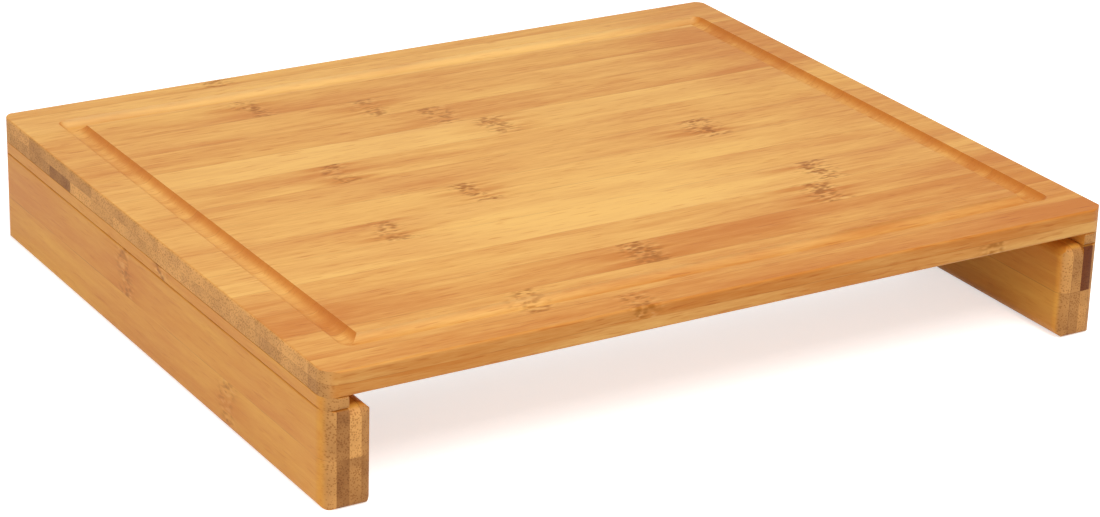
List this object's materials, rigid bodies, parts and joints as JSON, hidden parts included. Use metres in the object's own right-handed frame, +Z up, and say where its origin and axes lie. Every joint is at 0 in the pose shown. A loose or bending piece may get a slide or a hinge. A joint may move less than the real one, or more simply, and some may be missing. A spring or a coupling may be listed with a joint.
{
  "type": "cutting board with slide-in trays",
  "caption": "Bamboo cutting board with a juice groove, raised on side rails whose slots carry slide-in steel trays.",
  "frame": {"origin": "middle of the footprint, on the surface that the rails stand on", "axes": "+X to the right along the board's grain, +Y to the back, +Z up"},
  "size_m": [0.38, 0.32, 0.0585],
  "materials": {
    "bamboo_top": "satin oiled bamboo, grain along the board",
    "bamboo_base": "satin oiled bamboo, grain along the board",
    "bamboo_spacer": "satin oiled bamboo, grain front to back",
    "bamboo_rail": "satin oiled bamboo, grain front to back",
    "dowel": "plain turned beech",
    "tray_steel": "brushed stainless steel sheet"
  },
  "bodies": {
    "board": {"top_stave_1": "bamboo_top", "top_stave_2": "bamboo_top", "top_stave_3": "bamboo_top", "top_stave_4": "bamboo_top", "top_stave_5": "bamboo_top", "top_stave_6": "bamboo_top", "top_stave_7": "bamboo_top", "top_stave_8": "bamboo_top", "top_stave_9": "bamboo_top", "top_stave_10": "bamboo_top", "top_stave_11": "bamboo_top", "top_stave_12": "bamboo_top", "top_stave_13": "bamboo_top", "top_stave_14": "bamboo_top", "top_stave_15": "bamboo_top", "base_stave_1": "bamboo_base", "base_stave_2": "bamboo_base", "base_stave_3": "bamboo_base", "base_stave_4": "bamboo_base", "base_stave_5": "bamboo_base", "base_stave_6": "bamboo_base", "base_stave_7": "bamboo_base", "base_stave_8": "bamboo_base", "base_stave_9": "bamboo_base", "base_stave_10": "bamboo_base", "base_stave_11": "bamboo_base", "base_stave_12": "bamboo_base", "base_stave_13": "bamboo_base", "base_stave_14": "bamboo_base", "base_stave_15": "bamboo_base", "left_spacer": "bamboo_spacer", "right_spacer": "bamboo_spacer", "left_rail_lower_strip_1": "bamboo_rail", "left_rail_lower_strip_2": "bamboo_rail", "left_rail_lower_strip_3": "bamboo_rail", "left_rail_lower_strip_4": "bamboo_rail", "left_rail_upper_strip_1": "bamboo_rail", "left_rail_upper_strip_2": "bamboo_rail", "left_rail_upper_strip_3": "bamboo_rail", "left_rail_upper_strip_4": "bamboo_rail", "right_rail_lower_strip_1": "bamboo_rail", "right_rail_lower_strip_2": "bamboo_rail", "right_rail_lower_strip_3": "bamboo_rail", "right_rail_lower_strip_4": "bamboo_rail", "right_rail_upper_strip_1": "bamboo_rail", "right_rail_upper_strip_2": "bamboo_rail", "right_rail_upper_strip_3": "bamboo_rail", "right_rail_upper_strip_4": "bamboo_rail", "left_dowels": "dowel", "right_dowels": "dowel"},
    "front_tray": {"front_tray": "tray_steel"},
    "rear_tray": {"rear_tray": "tray_steel"}
  },
  "joints": [
    {"name": "front_tray_slide", "type": "slide", "parent": "board", "child": "front_tray", "axis": [0, -1, 0], "range_m": [0, 0.155]},
    {"name": "rear_tray_slide", "type": "slide", "parent": "board", "child": "rear_tray", "axis": [0, 1, 0], "range_m": [0, 0.077]}
  ]
}
